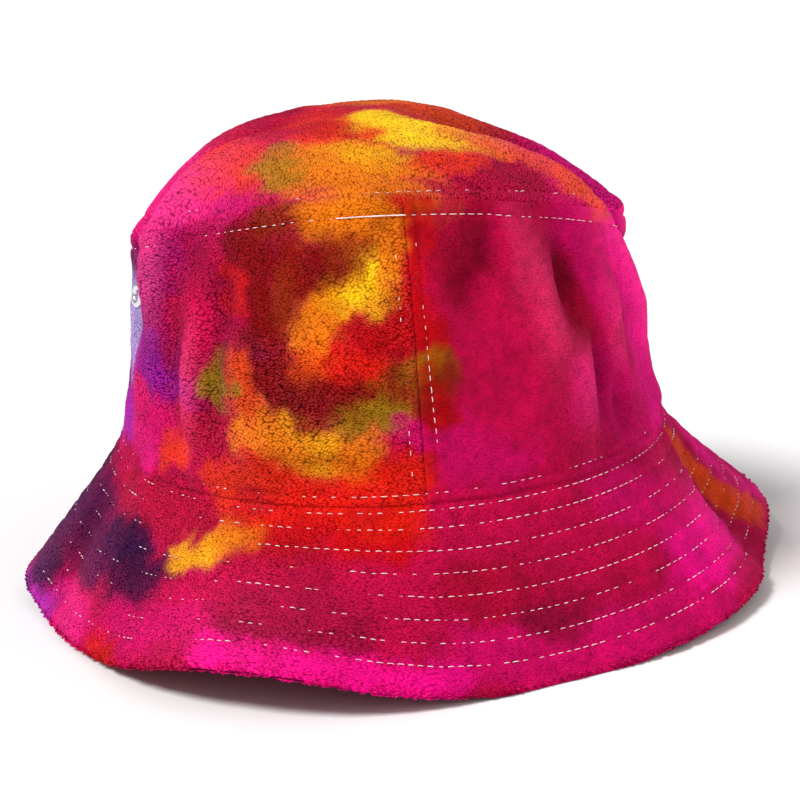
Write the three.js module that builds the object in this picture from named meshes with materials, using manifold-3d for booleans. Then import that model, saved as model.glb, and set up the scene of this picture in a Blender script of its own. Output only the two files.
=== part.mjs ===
// A terry cloth bucket hat, sewn from a crown tip, two crown sides and a quilted brim.
// Millimetres, +Z up. The hat stands on its brim on the plane z = 0 and its front faces -Y.
// Azimuth runs around the hat from the front (-Y) towards +X.
// Names with left and right are as seen from the front: left is -X and right is +X.

import * as THREE from 'three';
import { mergeVertices } from 'three/addons/utils/BufferGeometryUtils.js';
import Module from 'manifold-3d';

const DEG = Math.PI / 180;

// Crown: two ovals, one at the brim seam and one at the tip seam.
const SEAM_A = 88;                    // half width at the brim seam
const SEAM_B = 103;                   // half length at the brim seam
const SEAM_Z = 51;                    // height of the brim seam
const TIP_A = 77.5;                   // half width of the tip
const TIP_B = 86;                     // half length of the tip
const TIP_SHIFT = -1.6;               // the crown leans this far sideways
const RIM_Z = 123.5;                  // mean height of the tip seam
const RIM_TILT = 8;                   // the front of the tip seam is this much higher
const RIM_SADDLE = 6;                 // front and back ride up, the sides droop
const TOP_Z = 154;                    // top of the domed tip
const DOME_POWER = 2.44;              // how late the dome turns down towards its rim
const BULGE_MEAN = 0.7;               // outward belly of the crown sides
const BULGE_SWING = 1.8;              // more belly at front and back than at the sides

// Brim: a strip of constant width that hangs from the brim seam at a varying slope.
const BRIM_WIDTH = 57;
const SLOPE_MEAN = 54.5 * DEG;        // below the horizontal
const SLOPE_WAVES = [                 // waves round the brim: [waves per turn, size, azimuth of a crest]
  [1, 1.2 * DEG, 270 * DEG],
  [2, 3.5 * DEG, 45 * DEG],
  [3, 5.4 * DEG, 41 * DEG],
  [5, 5.5 * DEG, 17 * DEG],
];
const CURL_MEAN = 3.5 * DEG;          // the slope eases from the seam to the edge by twice this
const CURL_SWING = 3.8 * DEG;         // more at the sides, less at front and back

// Cloth and trim, counted inwards from the outer surface.
const CLOTH = 1.8;
const GAP = 0.3;
const INTERLINING = 0.6;
const TAPE = 0.5;
const BAND = 1.2;
const BINDING = 1.0;
const TAPE_INSET = CLOTH + GAP;
const LINING_INSET = TAPE_INSET + TAPE + GAP;
const BAND_HEIGHT = 30;
const BINDING_DROP = 2.5;
const BINDING_HEIGHT = 10;
const TAPE_WIDTH = 12;
const THREAD_WIDTH = 0.8;
const THREAD_RISE = 0.5;
const LINING_REACH = 0.94;            // the interlining stops this share of the way to the brim's edge
const TAPE_REACH = 0.96;              // the seam tapes stop this share of the way up

// Stitch rows.
const BRIM_ROWS = 7;
const FIRST_ROW = 0.125;              // as a share of the brim's width
const ROW_STEP = 0.12;
const SEAM_ROW = 0.03;
const HEM_ROW = 3;                    // above the brim seam
const TIP_ROW_ABOVE = 4;              // on the tip, in from its seam
const TIP_ROW_BELOW = 4.4;            // on the sides, down from the tip seam
const SEAM_ROW_OFFSET = 4;            // either side of the front and back seams
const SEAM_ROW_START = 0.06;          // share of the way up the crown
const SEAM_ROW_END = 0.9;
const BAND_ROW = 4;                   // above the sweatband's lower edge

// Seams, eyelets and label.
const FRONT_SEAM = 6 * DEG;           // azimuth of the front seam
const EYELET_AZIMUTHS = { front: 84 * DEG, back: 108 * DEG };
const EYELET_Z = 100;
const EYELET_BORE = 1.6;
const EYELET_BARREL = 2.1;
const EYELET_FLANGE = 4;
const EYELET_HOLE = 2.5;
const EYELET_SHOULDER = 3;            // radius at which the flange starts to turn down
const EYELET_TOP = 1.1;               // height of the flange above the cloth
const EYELET_LIP = 0.9;               // height of the bore's rounded lip
const EYELET_EDGE = 0.5;              // height of the flange's edge
const EYELET_CLINCH = 1;              // how far the barrel stands past the washer's seat
const WASHER_SHOULDER = 3.2;
const WASHER_TOP = 0.7;
const WASHER_LIP = 0.5;
const WASHER_EDGE = 0.4;
const LABEL_WIDTH = 26;
const LABEL_LENGTH = 22;
const LABEL_THICKNESS = 0.5;
const LABEL_DROP = 1.5;               // hinge line below the sweatband's upper edge
const LABEL_CLEAR = 1.7;              // the flat label spans the hollow of the band

// Surface finish.
const CLOTH_ROUGHNESS = 0.95;
const LABEL_ROUGHNESS = 0.7;
const THREAD_ROUGHNESS = 0.6;
const METAL_ROUGHNESS = 0.3;

// Mesh resolution.
const AROUND = 48;
const STEPS_UP = 4;
const BRIM_STEPS = 6;
const DOME_RINGS = [0.3, 0.52, 0.72, 0.87, 1];
const EYELET_SIDES = 16;

const COLOURS = {
  tip: 0xc8402c,
  sides: 0xc01f5a,
  brim: 0xb0164f,
  lining: 0xe9e4dc,
  tape: 0xb5326a,
  band: 0xb82a60,
  thread: 0xf1ece4,
  metal: 0xb9bbbf,
  label: 0xf4f1ea,
};

const wasm = await Module();
wasm.setup();

// ---- Shape of the hat ----

function lerp(a, b, t) {
  return a + (b - a) * t;
}

function rimHeight(az) {
  return RIM_Z + RIM_TILT * Math.cos(az) + RIM_SADDLE * Math.cos(2 * az);
}

// Horizontal outward normal of an oval at an azimuth.
function outward(az, a, b) {
  return new THREE.Vector3(b * Math.sin(az), -a * Math.cos(az), 0).normalize();
}

// Crown side: t runs from the brim seam (0) to the tip seam (1).
function crownPoint(az, t, inset = 0) {
  const a = lerp(SEAM_A, TIP_A, t);
  const b = lerp(SEAM_B, TIP_B, t);
  const bulge = (BULGE_MEAN + BULGE_SWING * Math.cos(2 * az)) * Math.sin(Math.PI * t);
  const point = outward(az, a, b).multiplyScalar(bulge - inset);
  point.x += TIP_SHIFT * t + a * Math.sin(az);
  point.y -= b * Math.cos(az);
  point.z = lerp(SEAM_Z, rimHeight(az), t);
  return point;
}

function crownAtHeight(az, z, inset) {
  return crownPoint(az, (z - SEAM_Z) / (rimHeight(az) - SEAM_Z), inset);
}

function tipPoint(az, rho, drop = 0) {
  const x = TIP_SHIFT + TIP_A * rho * Math.sin(az);
  const y = -TIP_B * rho * Math.cos(az);
  const z = TOP_Z - (TOP_Z - rimHeight(az)) * rho ** DOME_POWER - drop;
  return new THREE.Vector3(x, y, z);
}

function brimSlope(az) {
  const wave = ([count, size, crest]) => size * Math.cos(count * (az - crest));
  return SLOPE_WAVES.reduce((sum, each) => sum + wave(each), SLOPE_MEAN);
}

// Brim: s runs from the seam (0) to the edge (1), depth goes into the brim. The edge stands on z = 0.
function brimPoint(az, s, depth = 0) {
  const normal = outward(az, SEAM_A, SEAM_B);
  const curl = CURL_MEAN - CURL_SWING * Math.cos(2 * az);
  const chord = brimSlope(az) + curl * (1 - s);
  const tangent = brimSlope(az) + curl * (1 - 2 * s);
  const run = BRIM_WIDTH * s * Math.cos(chord) - depth * Math.sin(tangent);
  const drop = BRIM_WIDTH * s * Math.sin(chord) + depth * Math.cos(tangent) + GAP;
  const x = SEAM_A * Math.sin(az) + normal.x * run;
  const y = -SEAM_B * Math.cos(az) + normal.y * run;
  return new THREE.Vector3(x, y, Math.max(SEAM_Z - drop, 0));
}

// ---- Closed meshes ----

function signedVolume(points, triangles) {
  let volume = 0;
  for (const [a, b, c] of triangles) {
    volume += points[a].dot(new THREE.Vector3().crossVectors(points[b], points[c]));
  }
  return volume;
}

function closedGeometry(points, triangles) {
  const flip = signedVolume(points, triangles) < 0;
  const index = triangles.flatMap(([a, b, c]) => (flip ? [a, c, b] : [a, b, c]));
  const geometry = new THREE.BufferGeometry();
  geometry.setAttribute('position', new THREE.Float32BufferAttribute(points.flatMap((p) => p.toArray()), 3));
  geometry.setIndex(index);
  geometry.computeVertexNormals();
  return geometry;
}

function quad(triangles, a, b, c, d) {
  triangles.push([a, b, c], [a, c, d]);
}

// A section swept round the hat. section(az) is a list of points round a closed outline.
// Both faces of a wall are split along the same diagonals, so twisted layers stay apart.
function ring(section, azimuths, closed = true) {
  const points = azimuths.flatMap((az) => section(az));
  const sides = points.length / azimuths.length;
  const triangles = [];
  const last = closed ? azimuths.length : azimuths.length - 1;
  for (let i = 0; i < last; i += 1) {
    const next = (i + 1) % azimuths.length;
    for (let k = 0; k < sides; k += 1) {
      const m = (k + 1) % sides;
      const corners = [i * sides + k, next * sides + k, next * sides + m, i * sides + m];
      const start = k < sides / 2 ? 0 : 1;
      quad(triangles, ...corners.slice(start), ...corners.slice(0, start));
    }
  }
  if (!closed) {
    const end = (azimuths.length - 1) * sides;
    for (let k = 0; k < sides / 2 - 1; k += 1) {
      const m = sides - 1 - k;
      quad(triangles, k, k + 1, m - 1, m);
      quad(triangles, end + m, end + m - 1, end + k + 1, end + k);
    }
  }
  return closedGeometry(points, triangles);
}

function spread(from, to, steps) {
  return Array.from({ length: steps + 1 }, (_, i) => lerp(from, to, i / steps));
}

// Outline of a wall: up its outer surface and back down its inner one, through the same stations.
function wallSection(surface, stations, outer, inner) {
  return (az) => {
    const up = stations.map((at) => surface(az, at, outer));
    const down = stations.map((at) => surface(az, at, inner));
    return [...up, ...down.reverse()];
  };
}

// Outline of a line of thread lying just clear of the cloth, at one place on a surface.
function threadSection(surface, at, halfWidth, sign = -1) {
  return (az) => [
    surface(az, at - halfWidth, sign * GAP),
    surface(az, at, sign * (GAP + THREAD_RISE)),
    surface(az, at + halfWidth, sign * GAP),
  ];
}

const FULL_TURN = spread(FRONT_SEAM, FRONT_SEAM + 2 * Math.PI, AROUND).slice(0, AROUND);

// A dome between an outer and an inner surface, closed at its rim.
function dome(outer, inner) {
  const points = [outer(0, 0), inner(0, 0)];
  const rings = DOME_RINGS.length;
  for (const surface of [outer, inner]) {
    for (const rho of DOME_RINGS) {
      points.push(...FULL_TURN.map((az) => surface(az, rho)));
    }
  }
  const at = (side, row, i) => 2 + (side * rings + row) * AROUND + (i % AROUND);
  const triangles = [];
  for (let i = 0; i < AROUND; i += 1) {
    triangles.push([0, at(0, 0, i), at(0, 0, i + 1)], [1, at(1, 0, i + 1), at(1, 0, i)]);
    for (let row = 1; row < rings; row += 1) {
      quad(triangles, at(0, row - 1, i), at(0, row, i), at(0, row, i + 1), at(0, row - 1, i + 1));
      quad(triangles, at(1, row - 1, i + 1), at(1, row, i + 1), at(1, row, i), at(1, row - 1, i));
    }
    quad(triangles, at(0, rings - 1, i), at(1, rings - 1, i), at(1, rings - 1, i + 1), at(0, rings - 1, i + 1));
  }
  return closedGeometry(points, triangles);
}

// ---- Booleans ----

function toManifold(geometry) {
  const bare = geometry.clone();
  bare.deleteAttribute('normal');
  bare.deleteAttribute('uv');
  const merged = mergeVertices(bare, 1e-4);
  return new wasm.Manifold(new wasm.Mesh({
    numProp: 3,
    vertProperties: new Float32Array(merged.attributes.position.array),
    triVerts: new Uint32Array(merged.index.array),
  }));
}

function fromManifold(solid) {
  const mesh = solid.getMesh();
  const geometry = new THREE.BufferGeometry();
  geometry.setAttribute('position', new THREE.BufferAttribute(mesh.vertProperties, 3));
  geometry.setIndex(new THREE.BufferAttribute(mesh.triVerts, 1));
  geometry.computeVertexNormals();
  return geometry;
}

// ---- Assembly ----

const hat = new THREE.Group();

function add(name, geometry, colour, roughness = CLOTH_ROUGHNESS, metalness = 0) {
  const material = new THREE.MeshStandardMaterial({ color: colour, roughness, metalness });
  const mesh = new THREE.Mesh(geometry, material);
  mesh.name = name;
  hat.add(mesh);
  return mesh;
}

function addRow(name, surface, at, halfWidth, sign) {
  const thread = ring(threadSection(surface, at, halfWidth, sign), FULL_TURN);
  add(name, thread, COLOURS.thread, THREAD_ROUGHNESS);
}

// Where an eyelet sits: its centre on the outer cloth and the direction it points.
function eyeletPlace(az) {
  const step = 0.01;
  const centre = crownAtHeight(az, EYELET_Z, 0);
  const around = crownAtHeight(az + step, EYELET_Z, 0).sub(centre);
  const upward = crownAtHeight(az, EYELET_Z + 1, 0).sub(centre);
  return { centre, direction: new THREE.Vector3().crossVectors(around, upward).normalize() };
}

function eyeletTurn(direction) {
  return new THREE.Quaternion().setFromUnitVectors(new THREE.Vector3(0, 1, 0), direction);
}

// A turned ring. Its profile is [radius, height along its axis], outwards along the top and back below.
function turnedRing(profile) {
  const outline = [...profile, profile[0]].reverse().map(([r, h]) => new THREE.Vector2(r, h));
  return new THREE.LatheGeometry(outline, EYELET_SIDES);
}

function eyeletSpots() {
  const spots = [];
  for (const [end, az] of Object.entries(EYELET_AZIMUTHS)) {
    spots.push({ name: `left_${end}`, az: FRONT_SEAM - az });
    spots.push({ name: `right_${end}`, az: FRONT_SEAM + az });
  }
  return spots;
}

function addCrownSides() {
  const half = AROUND / 2;
  const seamGap = GAP / 2 / SEAM_A;
  const section = wallSection(crownPoint, spread(0, 1, STEPS_UP), 0, CLOTH);
  for (const [side, start, end] of [['left', -Math.PI, 0], ['right', 0, Math.PI]]) {
    const azimuths = spread(FRONT_SEAM + start + seamGap, FRONT_SEAM + end - seamGap, half);
    let solid = toManifold(ring(section, azimuths, false));
    for (const spot of eyeletSpots().filter(({ name }) => name.startsWith(side))) {
      const punch = new THREE.CylinderGeometry(EYELET_HOLE, EYELET_HOLE, 6 * CLOTH, EYELET_SIDES);
      const { centre, direction } = eyeletPlace(spot.az);
      punch.applyQuaternion(eyeletTurn(direction)).translate(...centre.toArray());
      solid = solid.subtract(toManifold(punch));
    }
    add(`crown_side_${side}`, fromManifold(solid), COLOURS.sides);
  }
}

function addTip() {
  const lipWidth = CLOTH + 2 * GAP;
  const thickness = CLOTH + GAP / 2;
  const innerRho = (rho) => rho * (1 - lipWidth / TIP_A);
  const outer = (az, rho) => tipPoint(az, rho, -GAP);
  const inner = (az, rho) => {
    const point = tipPoint(az, innerRho(rho), thickness);
    point.z = Math.max(point.z, rimHeight(az) + GAP);
    return point;
  };
  add('crown_tip', dome(outer, inner), COLOURS.tip);
  const bindingSection = (az) => {
    const top = rimHeight(az) - BINDING_DROP;
    return wallSection(crownAtHeight, [top - BINDING_HEIGHT, top], LINING_INSET, LINING_INSET + BINDING)(az);
  };
  add('tip_seam_binding', ring(bindingSection, FULL_TURN), COLOURS.tape);
}

function addBrim() {
  const stations = spread(0, LINING_REACH, BRIM_STEPS);
  const underside = CLOTH + INTERLINING + 2 * GAP;
  const lining = wallSection(brimPoint, stations, CLOTH + GAP, CLOTH + GAP + INTERLINING);
  const top = wallSection(brimPoint, [...stations, 1], 0, CLOTH);
  const under = wallSection(brimPoint, [...stations, 1], underside, underside + CLOTH);
  add('brim_top', ring(top, FULL_TURN), COLOURS.brim);
  add('brim_interlining', ring(lining, FULL_TURN), COLOURS.lining);
  add('brim_underside', ring(under, FULL_TURN), COLOURS.brim);
}

function addSweatband() {
  const heights = spread(SEAM_Z, SEAM_Z + BAND_HEIGHT, 2);
  const section = wallSection(crownAtHeight, heights, LINING_INSET, LINING_INSET + BAND);
  add('sweatband', ring(section, FULL_TURN), COLOURS.band);
}

function addSeamTapes() {
  const halfTurn = TAPE_WIDTH / 2 / SEAM_B;
  for (const [name, az] of [['front', FRONT_SEAM], ['back', FRONT_SEAM + Math.PI]]) {
    const stations = spread(0, TAPE_REACH, STEPS_UP);
    const section = wallSection(crownPoint, stations, TAPE_INSET, TAPE_INSET + TAPE);
    add(`${name}_seam_tape`, ring(section, spread(az - halfTurn, az + halfTurn, 2), false), COLOURS.tape);
  }
}

// A line of thread up a vertical seam, lying just clear of the cloth.
function seamThread(az) {
  const halfTurn = THREAD_WIDTH / 2 / SEAM_B;
  const rows = STEPS_UP * 2;
  const points = [];
  const triangles = [];
  for (let i = 0; i <= rows; i += 1) {
    const t = lerp(SEAM_ROW_START, SEAM_ROW_END, i / rows);
    points.push(crownPoint(az - halfTurn, t, -GAP), crownPoint(az, t, -GAP - THREAD_RISE));
    points.push(crownPoint(az + halfTurn, t, -GAP));
  }
  for (let i = 0; i < rows; i += 1) {
    for (let k = 0; k < 3; k += 1) {
      const m = (k + 1) % 3;
      quad(triangles, 3 * i + k, 3 * i + 3 + k, 3 * i + 3 + m, 3 * i + m);
    }
  }
  triangles.push([0, 1, 2], [3 * rows + 2, 3 * rows + 1, 3 * rows]);
  return closedGeometry(points, triangles);
}

function addStitches() {
  const offset = SEAM_ROW_OFFSET / SEAM_B;
  for (const [name, az] of [['front', FRONT_SEAM], ['back', FRONT_SEAM + Math.PI]]) {
    add(`${name}_seam_stitch_left`, seamThread(az - offset), COLOURS.thread, THREAD_ROUGHNESS);
    add(`${name}_seam_stitch_right`, seamThread(az + offset), COLOURS.thread, THREAD_ROUGHNESS);
  }
  const halfWidth = THREAD_WIDTH / 2;
  const belowRim = (az, z, inset) => crownAtHeight(az, rimHeight(az) - z, inset);
  addRow('tip_stitch_lower', belowRim, TIP_ROW_BELOW, halfWidth);
  const tipFace = (az, rho, rise) => tipPoint(az, rho, rise - GAP);
  addRow('tip_stitch_upper', tipFace, 1 - TIP_ROW_ABOVE / TIP_A, halfWidth / TIP_A);
  addRow('crown_hem_stitch', crownAtHeight, SEAM_Z + HEM_ROW, halfWidth);
  addRow('brim_seam_stitch', brimPoint, SEAM_ROW, halfWidth / BRIM_WIDTH);
  for (let row = 0; row < BRIM_ROWS; row += 1) {
    addRow(`brim_stitch_${row + 1}`, brimPoint, FIRST_ROW + ROW_STEP * row, halfWidth / BRIM_WIDTH);
  }
  const bandFace = (az, z, inset) => crownAtHeight(az, z, LINING_INSET + BAND + inset);
  addRow('sweatband_stitch', bandFace, SEAM_Z + BAND_ROW, halfWidth, 1);
}

// Each eyelet is a flanged barrel pushed in from outside and clinched on a washer inside.
function addEyelets() {
  const inside = -(CLOTH + GAP);
  const eyelet = [
    [EYELET_BORE, EYELET_LIP],
    [EYELET_BARREL, EYELET_TOP],
    [EYELET_SHOULDER, EYELET_TOP],
    [EYELET_FLANGE, EYELET_EDGE],
    [EYELET_FLANGE, GAP],
    [EYELET_BARREL, GAP],
    [EYELET_BARREL, inside - EYELET_CLINCH],
    [EYELET_BORE, inside - EYELET_CLINCH],
  ];
  const washer = [
    [EYELET_BARREL + GAP, inside],
    [EYELET_FLANGE, inside],
    [EYELET_FLANGE, inside - WASHER_EDGE],
    [WASHER_SHOULDER, inside - WASHER_TOP],
    [EYELET_BARREL + GAP, inside - WASHER_LIP],
  ];
  for (const { name, az } of eyeletSpots()) {
    const { centre, direction } = eyeletPlace(az);
    for (const [kind, profile] of [['eyelet', eyelet], ['washer', washer]]) {
      const mesh = add(`${kind}_${name}`, turnedRing(profile), COLOURS.metal, METAL_ROUGHNESS, 1);
      mesh.position.copy(centre);
      mesh.quaternion.copy(eyeletTurn(direction));
    }
  }
}

// The care label hangs from the upper edge of the sweatband at the back and swings about that edge.
function labelHinge() {
  const clear = LINING_INSET + BAND + LABEL_CLEAR + LABEL_THICKNESS / 2;
  return crownAtHeight(Math.PI, SEAM_Z + BAND_HEIGHT - LABEL_DROP, clear);
}

function addLabel() {
  const geometry = new THREE.BoxGeometry(LABEL_WIDTH, LABEL_THICKNESS, LABEL_LENGTH);
  const mesh = add('care_label', geometry, COLOURS.label, LABEL_ROUGHNESS);
  mesh.position.copy(labelHinge());
  mesh.position.z -= LABEL_LENGTH / 2;
}

addTip();
addCrownSides();
addBrim();
addSweatband();
addSeamTapes();
addEyelets();
addLabel();
addStitches();

// The origin is the middle of the outline on the ground.
const box = new THREE.Box3().setFromObject(hat);
const middle = box.getCenter(new THREE.Vector3());
hat.position.set(-middle.x, -middle.y, 0);

export default hat;
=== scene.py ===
"""Looks of a tie-dyed terry cloth bucket hat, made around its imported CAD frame.

Shapes are worked out in millimetres, in the frame's own axes, and become metres when a mesh is made.
Azimuth runs round the hat from the front (-Y) towards +X, in radians.
"""

import math

import bpy
import numpy as np
from mathutils import Matrix, Vector


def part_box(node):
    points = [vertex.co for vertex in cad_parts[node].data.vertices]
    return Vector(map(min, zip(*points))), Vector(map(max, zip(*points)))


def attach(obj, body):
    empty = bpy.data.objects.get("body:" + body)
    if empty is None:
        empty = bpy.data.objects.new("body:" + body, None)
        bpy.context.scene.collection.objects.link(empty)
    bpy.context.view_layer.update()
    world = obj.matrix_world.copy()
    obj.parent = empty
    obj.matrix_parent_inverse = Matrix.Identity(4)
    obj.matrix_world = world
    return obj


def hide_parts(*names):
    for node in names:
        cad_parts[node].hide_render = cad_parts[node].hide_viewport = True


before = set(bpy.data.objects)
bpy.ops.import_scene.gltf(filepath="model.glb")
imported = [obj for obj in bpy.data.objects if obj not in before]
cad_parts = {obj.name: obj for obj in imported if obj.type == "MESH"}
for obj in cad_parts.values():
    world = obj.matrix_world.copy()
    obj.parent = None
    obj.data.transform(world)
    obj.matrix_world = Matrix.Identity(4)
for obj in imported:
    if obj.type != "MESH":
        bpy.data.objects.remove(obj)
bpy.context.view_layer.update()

MM = 0.001
DEG = math.pi / 180
HAT = "hat"
LABEL = "care_label"


# ---- Driving sizes: places come from the frame, curve shapes repeat the CAD model's ----

def node_box(*nodes):
    boxes = [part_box(n) for n in nodes]
    low = np.min([b[0] for b in boxes], axis=0) / MM
    high = np.max([b[1] for b in boxes], axis=0) / MM
    return low, high


SIDES_LOW, SIDES_HIGH = node_box("crown_side_left", "crown_side_right")
CENTRE = (SIDES_LOW + SIDES_HIGH) / 2
SEAM_Z = SIDES_LOW[2]
TOP_Z = node_box("crown_tip")[1][2]
SEAM_A, SEAM_B = 88.0, 103.0
TIP_A, TIP_B = 77.5, 86.0
TIP_SHIFT = -1.6
RIM_Z, RIM_TILT, RIM_SADDLE = 123.5, 8.0, 6.0
DOME_POWER = 2.44
BULGE_MEAN, BULGE_SWING = 0.7, 1.8
BRIM_WIDTH = 57.0
SLOPE_MEAN = 54.5 * DEG
# Waves in the brim's slope: how many round the hat, size and the azimuth of a crest.
SLOPE_WAVES = [
    (1, 1.2 * DEG, 270 * DEG), (2, 3.5 * DEG, 45 * DEG), (3, 5.4 * DEG, 41 * DEG), (5, 5.5 * DEG, 17 * DEG),
]
CURL_MEAN, CURL_SWING = 3.5 * DEG, 3.8 * DEG
CLOTH = 1.8
BRIM_THICKNESS = 4.8
FLOOR_GAP = 0.9
TRIM = 3.2                # the brim is cut a little narrower left of the front
LINING_INSET = 2.9
BAND, BAND_HEIGHT = 1.2, 30.0
TAPE_WIDTH = 12.0
LABEL_CLOTH = 0.3
FRONT_SEAM = 6 * DEG
BACK_SEAM = FRONT_SEAM + math.pi
EYELET_Z = 100.0
# A point inside the hat, from which every outer face looks away.
INSIDE = np.array([CENTRE[0], CENTRE[1], SEAM_Z - 10])

EDGE_ROLL = 1.5          # radius by which a sewn edge turns in
PILE = 0.42              # height of the clumps of terry loops
CLUMP = 2.3              # spacing of the clumps

# Stitch rows round the brim, as shares of its width.
BRIM_ROWS = [0.125 + 0.12 * i for i in range(7)]
SEAM_ROW = 0.03
HEM_ROW = 3.0
TIP_ROW_ABOVE = 4.0
TIP_ROW_BELOW = 4.4
SEAM_ROW_OFFSET = 4.0
STITCH = 3.0


# ---- Noise ----

def hashed(ix, iy, iz, seed):
    """A number from 0 to 1 for each lattice place, the same on every run."""
    h = ix.astype(np.uint32) * np.uint32(374761393) + iy.astype(np.uint32) * np.uint32(668265263)
    h = h + iz.astype(np.uint32) * np.uint32(2147483647) + np.uint32(seed * 7919 + 13)
    h = (h ^ (h >> np.uint32(13))) * np.uint32(1274126177)
    h = (h ^ (h >> np.uint32(15))) * np.uint32(2246822519)
    return ((h ^ (h >> np.uint32(16))) & np.uint32(0xFFFFFF)) / float(0x1000000)


def smooth(x):
    return x * x * (3 - 2 * x)


def noise(p, scale, seed):
    """Value noise from -1 to 1 at points p (..., 2 or 3), with features about scale apart."""
    q = np.asarray(p) / scale
    x, y = q[..., 0], q[..., 1]
    z = q[..., 2] if q.shape[-1] == 3 else np.zeros_like(x)
    corner = [np.floor(c).astype(np.int64) for c in (x, y, z)]
    part = [smooth(c - f) for c, f in zip((x, y, z), corner)]
    total = 0.0
    for dx in (0, 1):
        for dy in (0, 1):
            for dz in (0, 1):
                weight = np.abs(1 - dx - part[0]) * np.abs(1 - dy - part[1]) * np.abs(1 - dz - part[2])
                total = total + weight * hashed(corner[0] + dx, corner[1] + dy, corner[2] + dz, seed)
    return total * 2 - 1


def fractal(p, scale, seed, octaves=3):
    return sum(noise(p, scale / 2 ** k, seed + k) * 0.5 ** k for k in range(octaves))


def cells(x, y, seed, jitter=0.85):
    """Distance to the nearest of a jittered grid of points one unit apart, and that point's own number."""
    cx, cy = np.floor(x).astype(np.int64), np.floor(y).astype(np.int64)
    nearest = np.full(x.shape, 9.0)
    own = np.zeros(x.shape)
    none = np.zeros_like(cx)
    for dx in (-1, 0, 1):
        for dy in (-1, 0, 1):
            ix, iy = cx + dx, cy + dy
            px = ix + 0.5 + jitter * (hashed(ix, iy, none, seed) - 0.5)
            py = iy + 0.5 + jitter * (hashed(ix, iy, none, seed + 1) - 0.5)
            d = np.hypot(x - px, y - py)
            closer = d < nearest
            nearest = np.where(closer, d, nearest)
            own = np.where(closer, hashed(ix, iy, none, seed + 2), own)
    return nearest, own


def bell(x, width):
    return np.exp(-(x / width) ** 2)


def unit(v):
    return v / np.maximum(np.linalg.norm(v, axis=-1, keepdims=True), 1e-9)


def turn_from(az, centre):
    """Angle from a place round the hat, from -pi to pi."""
    return (az - centre + math.pi) % (2 * math.pi) - math.pi


# ---- Shape of the hat ----

RIM_DENTS = [(77, 11, 4.5), (-72, 9, 1.5)]     # azimuth, half width, depth


def rim_height(az):
    """Height of the tip seam, lower where the rim is pushed in at both sides."""
    pushed_in = sum(depth * bell(turn_from(az, at * DEG), width * DEG) for at, width, depth in RIM_DENTS)
    return RIM_Z + RIM_TILT * np.cos(az) + RIM_SADDLE * np.cos(2 * az) - pushed_in


def outward(az, a, b):
    """Unit vector away from the axis, square to an ellipse with half axes a and b."""
    return unit(np.stack([b * np.sin(az), -a * np.cos(az), np.zeros_like(az)], -1))


FOLD_DEPTH = 2.3
# Dents and ridges of the crown sides: (azimuth, height share, half width, half height, out).
CROWN_FOLDS = [
    (24, 0.82, 4, 0.10, -1.8), (18, 0.72, 4, 0.10, -1.5), (30, 0.84, 5, 0.16, 0.9),
    (43, 0.72, 3.5, 0.16, -2.2), (36, 0.62, 4, 0.22, 1.2), (49, 0.34, 2.6, 0.16, -1.9),
    (43, 0.38, 4, 0.22, 1.2), (55, 0.20, 3, 0.12, -1.5), (56, 0.55, 4, 0.25, 1.2),
    (-35, 0.72, 4, 0.14, -1.6), (-43, 0.42, 3, 0.22, 1.6), (-37, 0.46, 3, 0.22, -1.3),
    (-50, 0.50, 4, 0.25, -1.2), (-58, 0.88, 5, 0.30, 2.6), (-70, 0.90, 7, 0.35, -3.2),
    (-45, 0.85, 5, 0.12, -1.2),
    (-66, 0.50, 4, 0.22, 1.3), (98, 0.68, 9, 0.12, -2.6), (-15, 0.13, 12, 0.05, -1.0),
    (12, 0.30, 6, 0.2, -0.7), (-22, 0.30, 5, 0.10, -0.8),
    (140, 0.70, 12, 0.30, -2.8), (160, 0.45, 9, 0.35, 2.0), (-150, 0.60, 10, 0.30, -2.6),
    (-125, 0.50, 9, 0.35, 1.8), (190, 0.60, 8, 0.35, -0.5), (-105, 0.30, 9, 0.25, -1.6),
]


def crown_fold(az, t):
    out = np.zeros(np.broadcast(az, t).shape)
    for place, height, half_width, half_height, size in CROWN_FOLDS:
        across = bell(turn_from(az, place * DEG), half_width * DEG)
        out = out + FOLD_DEPTH * size * across * bell(t - height, half_height)
    # The right side is pushed in behind a ridge that leans back as it comes down.
    behind = turn_from(az, (62 + 38 * (1 - t)) * DEG) / DEG
    reach = smooth(np.clip((t - 0.12) / 0.5, 0, 1))
    ridges = 4.2 * bell(behind + 1, 7) + 3.6 * bell(behind - 34, 12)
    return out + reach * (ridges - 11.5 * bell(behind - 15, 9))


def crown_point(az, t, inset=0.0):
    """A point of the crown side, t from the brim seam (0) to the tip seam (1)."""
    a = SEAM_A + (TIP_A - SEAM_A) * t
    b = SEAM_B + (TIP_B - SEAM_B) * t
    n = outward(az, a, b)
    low = smooth(np.clip(t / 0.12, 0, 1))
    bulge = (BULGE_MEAN + BULGE_SWING * np.cos(2 * az)) * np.sin(math.pi * t)
    out = bulge + crown_fold(az, t) * low - inset
    x = CENTRE[0] + TIP_SHIFT * t + a * np.sin(az) + n[..., 0] * out
    y = CENTRE[1] - b * np.cos(az) + n[..., 1] * out
    wobble = fractal(np.stack([x, y, t * 80], -1), 26, 5) * 1.5 * low
    z = SEAM_Z + (rim_height(az) - SEAM_Z) * t
    return np.stack([x + n[..., 0] * wobble, y + n[..., 1] * wobble, z + 0 * x], -1)


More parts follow.
